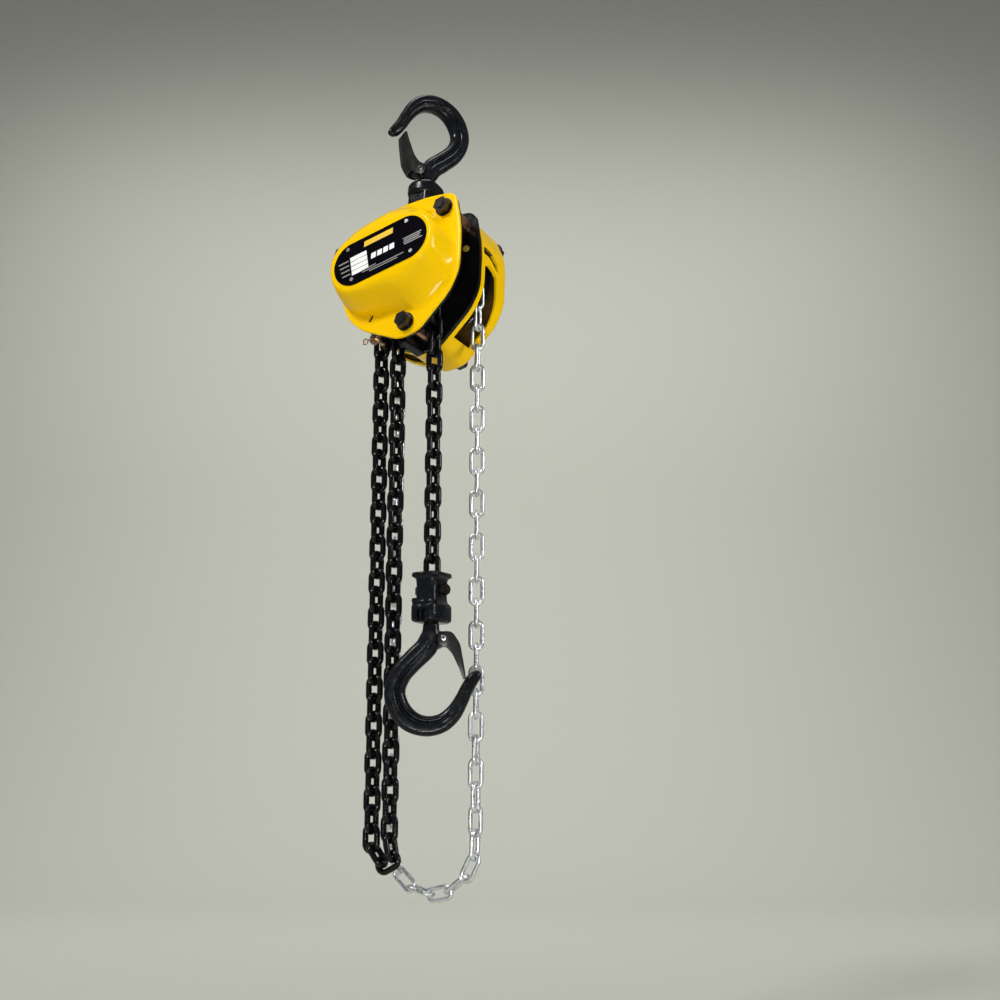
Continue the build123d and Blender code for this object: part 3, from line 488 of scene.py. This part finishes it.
# ------------------------------------------------------------------ forged hooks
HOOK_C = -67.6                                                # bowl centre under the swivel, mm
PIVOT_X, PIVOT_Z = 8.5, 35.8                                  # latch pin over the bowl centre
SQUASH = {"top": 1.0, "lower": 0.945}                         # the lower bowl is shallower
SHANK_R, SHANK_FROM, SHANK_TO = 4.5, 44 + HOOK_C, -9.8
COLLAR_R, COLLAR_FROM, COLLAR_TO = 8.0, -18.6, -10.0
LUG_R, LUG_HALF = 4.6, 3.3                                    # the lug that carries the latch
SQUARENESS = 0.78                                             # under 1 squares a section's corners
SECT = [  # centre x, centre z, in-plane width, thickness, direction of travel, depth of the side groove
    (0.0, 49.0, 9.0, 9.0, -90, 0.0), (0.0, 46.4, 9.2, 9.2, -90, 0.0), (-0.1, 44.4, 10.8, 9.8, -90, 0.0),
    (-0.2, 41.0, 11.2, 10.0, -92, 0.02), (-0.6, 37.0, 13.4, 10.2, -98, 0.05),
    (-3.4, 29.6, 14.8, 10.4, -120, 0.16), (-11.5, 21.0, 14.4, 10.6, -137, 0.24),
    (-19.4, 11.4, 14.2, 10.8, -118, 0.26), (-23.2, 0.2, 14.0, 11.0, -92, 0.26),
    (-21.2, -10.0, 14.4, 11.4, -66, 0.26), (-15.6, -18.2, 14.4, 11.6, -42, 0.26),
    (-8.2, -22.8, 13.6, 11.6, -20, 0.26), (0.2, -23.9, 13.0, 11.2, 4, 0.26),
    (8.6, -21.2, 12.2, 10.6, 30, 0.24), (15.2, -14.9, 11.0, 10.0, 52, 0.2),
    (20.0, -6.6, 9.4, 9.2, 62, 0.14), (23.6, 1.4, 8.7, 8.4, 62, 0.06),
    (27.2, 7.6, 8.4, 7.4, 50, 0.0), (30.4, 11.2, 6.4, 5.8, 42, 0.0), (32.2, 12.7, 3.2, 3.2, 42, 0.0)]


def catmull(rows, per):
    """rows of numbers with smooth steps put in between them, per of them for each row"""
    out = []
    for i in range(len(rows) - 1):
        p = [rows[max(i - 1, 0)], rows[i], rows[i + 1], rows[min(i + 2, len(rows) - 1)]]
        for k in range(per):
            t = k / per
            out.append([0.5 * (2 * b + (c - a) * t + (2 * a - 5 * b + 4 * c - d) * t * t
                               + (3 * b - a - 3 * c + d) * t ** 3) for a, b, c, d in zip(*p)])
    out.append(list(rows[-1]))
    return out


def loop_solid(rings):
    """a skin over rings of points, closed at both ends"""
    verts, faces, k = [], [], len(rings[0])
    for r in rings:
        verts += r
    for i in range(len(rings) - 1):
        for j in range(k):
            a, b = i * k + j, i * k + (j + 1) % k
            faces.append((a, b, b + k, a + k))
    faces.append(tuple(reversed(range(k))))
    faces.append(tuple((len(rings) - 1) * k + j for j in range(k)))
    return verts, faces


def tube(p0, p1, radius, n=40):
    p0, p1 = Vector(p0), Vector(p1)
    d = (p1 - p0).normalized()
    u = d.orthogonal().normalized()
    v = d.cross(u)
    around = [u * cos(2 * pi * i / n) + v * sin(2 * pi * i / n) for i in range(n)]
    return loop_solid([[p0 + (p1 - p0) * s + q * radius for q in around] for s in (0.0, 0.5, 1.0)])


def section(w, t, groove, n=56):
    """outline of a forged hook's section: rounded edges, with a groove and a shallow hollow in each side"""
    out = []
    for i in range(n):
        a = 2 * pi * i / n
        u, v = cos(a), sin(a)
        su, sv = math.copysign(abs(u) ** SQUARENESS, u), math.copysign(abs(v) ** SQUARENESS, v)
        hollow = 1.9 * groove * math.exp(-((su + 0.22) / 0.17) ** 2)
        hollow += 0.5 * groove * math.exp(-((su - 0.2) / 0.4) ** 2)
        out.append((su * w / 2, sv * t / 2 * (1 - hollow)))
    return out


def hook_parts(squash):
    """bowl, shank, collar and latch lug, in the hook's own axes in mm"""
    rings = []
    for x, z, w, t, d, gr in catmull(SECT, 6):
        z = PIVOT_Z - (PIVOT_Z - z) * squash if z < PIVOT_Z else z
        a = radians(d)
        side = Vector((-sin(a), 0, cos(a)))       # towards the bowl's inside
        centre = Vector((x, 0, z + HOOK_C))
        rings.append([centre + side * (-u) + Vector((0, v, 0)) for u, v in section(w, t, gr)])
    pz = PIVOT_Z + HOOK_C
    lug_root = [(x, z + HOOK_C) for x, z in ((1.0, 41.0), (9.2, 40.3), (9.5, 31.3), (0.5, 27.0))]
    return [
        loop_solid(rings),
        tube((0, 0, SHANK_FROM), (0, 0, SHANK_TO), SHANK_R),
        tube((0, 0, COLLAR_FROM), (0, 0, COLLAR_TO), COLLAR_R),
        tube((PIVOT_X, -LUG_HALF, pz), (PIVOT_X, LUG_HALF, pz), LUG_R),
        prism(lug_root, -LUG_HALF, LUG_HALF),
    ]


def joined(name, parts, material, mat4, voxel, smooth):
    """overlapping parts melted into one forging"""
    ob = gathered(name, parts, material)
    rm = ob.modifiers.new("remesh", "REMESH")
    rm.mode, rm.voxel_size = "VOXEL", voxel * 0.001
    sm = ob.modifiers.new("smooth", "SMOOTH")
    sm.factor, sm.iterations = 0.5, smooth
    apply_modifiers(ob)
    ob.data.transform(mat4)
    return ob


YOKE_RISE = 0.008                                             # the taller top yoke


def latch_frame(name):
    """a hook's own axes: Y along its latch's pin, Z from the bowl to the swivel, which is the origin"""
    y = Vector(joint(name + "_latch_pivot")["axis"]).normalized()
    swivel = Vector(joint(name + "_hook_swivel")["pos_m"])
    z = Vector((0, 0, 1))
    if name == "top":
        swivel += HZ * YOKE_RISE
        z = HZ * -1
    x = y.cross(z).normalized()
    m = Matrix((x, y, z)).transposed().to_4x4()
    m.translation = swivel
    return m


VOXEL = 0.5
for name in ("top", "lower"):
    m4 = latch_frame(name)
    hook = joined(name + "_hook_forging", hook_parts(SQUASH[name]), "forged_black", m4, VOXEL, 3)
    stands_for(hook, name + "_hook", name + "_hook")


# ------------------------------------------------------------------ block castings of the bottom hook
CASTING = [  # height over the chain pin, half width, half depth, corner radius
    (11.6, 8.6, 9.3, 3.0), (11.3, 9.9, 10.4, 3.0), (9.4, 10.2, 10.7, 3.0), (8.4, 9.6, 10.4, 3.2),
    (7.4, 8.2, 9.6, 3.6), (4.0, 7.7, 9.3, 3.8), (-2.0, 7.6, 9.3, 3.8), (-7.4, 7.9, 9.6, 3.8),
    (-9.0, 8.8, 10.8, 4.0), (-10.2, 9.4, 12.2, 4.4), (-12.0, 9.6, 12.9, 5.0), (-19.0, 9.6, 12.9, 5.0),
    (-20.6, 9.2, 12.4, 5.0), (-21.5, 8.0, 11.2, 5.0)]
HALF_GAP = 0.12                                               # half the split between the two castings
CHAIN_ROOM = [  # boxes cut from both for the end link, its lean and the link across it: x, y and z spans
    (-2.7, 2.7, -7.6, 7.6, -6.5, 20),
    (-2.7, 2.7, -8.4, 8.4, 1.0, 20),
    (-7.3, 7.3, -4.2, 4.2, 4.6, 20),
]


def half_section(hx, hy, r, n=9):
    """one side of a rounded rectangle, from the split outwards"""
    pts = [(HALF_GAP, -hy)]
    for k in range(n):
        a = -pi / 2 + pi / 2 * k / (n - 1)
        pts.append((hx - r + r * cos(a), -hy + r + r * sin(a)))
    for k in range(n):
        a = pi / 2 * k / (n - 1)
        pts.append((hx - r + r * cos(a), hy - r + r * sin(a)))
    return pts + [(HALF_GAP, hy)]


def box_mesh(name, x0, x1, y0, y1, z0, z1):
    v = [(x, y, z) for x in (x0, x1) for y in (y0, y1) for z in (z0, z1)]
    f = [(0, 1, 3, 2), (4, 6, 7, 5), (0, 4, 5, 1), (2, 3, 7, 6), (0, 2, 6, 4), (1, 5, 7, 3)]
    return mesh_object(name, [Vector(p) * 0.001 for p in v], f, "forged_black", smooth=False)


PIN_AT = Vector(joint("lower_block_rock")["pos_m"])
for name, sg in (("lower_block_left", -1), ("lower_block_right", 1)):
    rings = []
    for z, hx, hy, r in catmull(CASTING, 3):
        rings.append([Vector((sg * x, y, z)) for x, y in half_section(hx, hy, r)])
    ob = gathered(name.replace("lower_block", "block_casting"), [loop_solid(rings)], "forged_black")
    for box in CHAIN_ROOM:
        cut(ob, box_mesh("room", *box))
    cut(ob, box_mesh("arch", sg * 1.8 - 1.1, sg * 1.8 + 2.6, -14, -10.2, -30, -13.5))
    soft_edges(ob, 0.5, 50)
    ob.data.transform(Matrix.Translation(PIN_AT))
    stands_for(ob, name, "lower_block")


# ------------------------------------------------------------------ latches: two cheeks and a curved back
LATCH = [  # corners of a cheek from the pin: x, z, radius
    (-4.4, -1.6, 3.0), (-2.6, 4.4, 4), (5.5, 4.4, 6), (10.6, -3.5, 9), (13.6, -19.5, 30), (14.3, -25.0, 0.8),
    (12.6, -26.6, 0.7), (9.8, -19.0, 25), (5.0, -9.0, 12), (1.0, -4.9, 4), (-2.2, -4.7, 2.0)]
PER_CORNER = 8                                                # steps round each of them
CHEEK_IN, CHEEK_OUT, WEB_HALF = 4.6, 5.6, 4.7
WEB_T, WEB_FROM = 1.1, 5.2
RIVET_R, RIVET_HALF = 1.9, 6.2
# a flat black disc on each rivet end: painted shade for the rivet's dimple
DIMPLE_SHADE_R, DIMPLE_SHADE_FROM, DIMPLE_SHADE_TO = 0.75, 6.0, 6.25


def merged(name, parts, material, mat4, bevel=0.0):
    """parts kept as they are in one object, with softened edges if a bevel is given in mm"""
    ob = gathered(name, parts, material, smooth=False)
    if bevel:
        soft_edges(ob, bevel, 40)
    ob.data.transform(mat4)
    return ob


for name in ("top", "lower"):
    m4 = latch_frame(name)
    px, pz = PIVOT_X, PIVOT_Z + HOOK_C
    out = rounded(LATCH, PER_CORNER)
    plate = [(px + p.x, pz + p.y) for p in out]
    outer_edge = out[2 * (PER_CORNER + 1):6 * (PER_CORNER + 1)]
    back = [p for p in outer_edge if p.x > WEB_FROM]
    inner = []
    for i, p in enumerate(back):
        d = (back[min(i + 1, len(back) - 1)] - back[max(i - 1, 0)]).normalized()
        inner.append(p + Vector((d.y, -d.x)) * WEB_T)
    web = [(px + p.x, pz + p.y) for p in back + inner[::-1]]
    folded = [prism(plate, -CHEEK_OUT, -CHEEK_IN), prism(plate, CHEEK_IN, CHEEK_OUT)]
    folded.append(prism(web, -WEB_HALF, WEB_HALF))
    latch = merged(name + "_latch_channel", folded, "latch_steel", m4, 0.3)
    stands_for(latch, name + "_latch", name + "_latch")
    shaft = tube((px, -RIVET_HALF, pz), (px, RIVET_HALF, pz), RIVET_R)
    rivet_finish = "worn_rivet" if name == "top" else "bright_steel"
    rivet = merged(name + "_rivet_body", [shaft], rivet_finish, m4, 0.35)
    stands_for(rivet, name + "_latch_rivet", name + "_hook")
    # each rivet end gets a flat black disc, painted shade standing in for its dimple
    for side in (-1, 1):
        end = "front" if side < 0 else "back"
        disc = tube((px, side * DIMPLE_SHADE_FROM, pz), (px, side * DIMPLE_SHADE_TO, pz), DIMPLE_SHADE_R)
        dot = merged(name + "_rivet_dimple_shade_" + end, [disc], "black_paint", m4)
        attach(dot, name + "_hook")


# ------------------------------------------------------------------ stage, light and camera
# the camera stands where the photo's does, fitted to points of the hoist
CAM = at(0, 0, 0) - Vector((-0.4763, 0.6693, 0.3744))
YAW, PITCH = 30.25, 12.5
cam_data = bpy.data.cameras.new("camera")
cam_data.lens, cam_data.sensor_width = 44.64, 36.0
cam_data.clip_start, cam_data.clip_end = 0.01, 50.0
cam = bpy.data.objects.new("camera", cam_data)
bpy.context.scene.collection.objects.link(cam)
cam.location = CAM
cam.rotation_euler = (radians(90 + PITCH), 0, radians(YAW))
bpy.context.scene.camera = cam
LOOK = Vector((-sin(radians(YAW)), cos(radians(YAW)), 0))
SIDE = Vector((cos(radians(YAW)), sin(radians(YAW)), 0))

lo, hi = cad_box
mid = (Vector(lo) + Vector(hi)) * 0.5


def sweep_floor():
    """a floor that curves up into a wall behind the hoist"""
    z0 = lo[2] - 0.12
    bend_at, bend_r, steps = 1.2, 0.9, 16
    prof = [(-6.0, z0), (bend_at, z0)]
    for k in range(1, steps + 1):
        a = pi / 2 * k / steps
        prof.append((bend_at + bend_r * sin(a), z0 + bend_r * (1 - cos(a))))
    prof.append((bend_at + bend_r, z0 + 4.0))
    verts, faces = [], []
    for u, z in prof:
        for s in (-8, 8):
            p = mid + LOOK * u + SIDE * s
            verts.append((p.x, p.y, z))
    for i in range(len(prof) - 1):
        faces.append((2 * i, 2 * i + 1, 2 * i + 3, 2 * i + 2))
    me = bpy.data.meshes.new("floor")
    me.from_pydata(verts, [], faces)
    for f in me.polygons:
        f.use_smooth = True
    ob = bpy.data.objects.new("floor", me)
    bpy.context.scene.collection.objects.link(ob)
    m, _, b = nodes_of("backdrop")
    b.inputs["Base Color"].default_value = (0.52, 0.525, 0.465, 1)
    b.inputs["Roughness"].default_value = 0.9
    me.materials.append(m)


sweep_floor()


def area(name, place, target, size, power):
    """a rectangular light at place, turned towards target"""
    d = bpy.data.lights.new(name, "AREA")
    d.shape, d.size, d.size_y = "RECTANGLE", size[0], size[1]
    d.energy = power
    o = bpy.data.objects.new(name, d)
    bpy.context.scene.collection.objects.link(o)
    o.location = place
    o.rotation_euler = (Vector(target) - Vector(place)).to_track_quat("-Z", "Y").to_euler()


area("key", mid + SIDE * -0.9 - LOOK * 0.9 + Vector((0, 0, 1.1)), mid, (0.26, 0.26), 15)
area("fill", mid + SIDE * 1.2 - LOOK * 0.7 + Vector((0, 0, 0.35)), mid, (0.18, 0.5), 8)
area("over", mid + Vector((0, 0, 1.5)) - LOOK * 0.1, mid, (0.6, 0.6), 7)
area("under", mid - LOOK * 0.9 + Vector((0, 0, -0.5)), mid + Vector((0, 0, 0.2)), (0.4, 0.3), 34.0)
area("back", mid + LOOK * 1.1 + Vector((0, 0, 0.9)), mid + LOOK * 1.9, (2.4, 1.6), 14)
world = bpy.data.worlds.new("world")
world.use_nodes = True
world.node_tree.nodes["Background"].inputs[0].default_value = (1, 1, 1, 1)
world.node_tree.nodes["Background"].inputs[1].default_value = 0.2
bpy.context.scene.world = world
bpy.context.scene.view_settings.view_transform = "Standard"
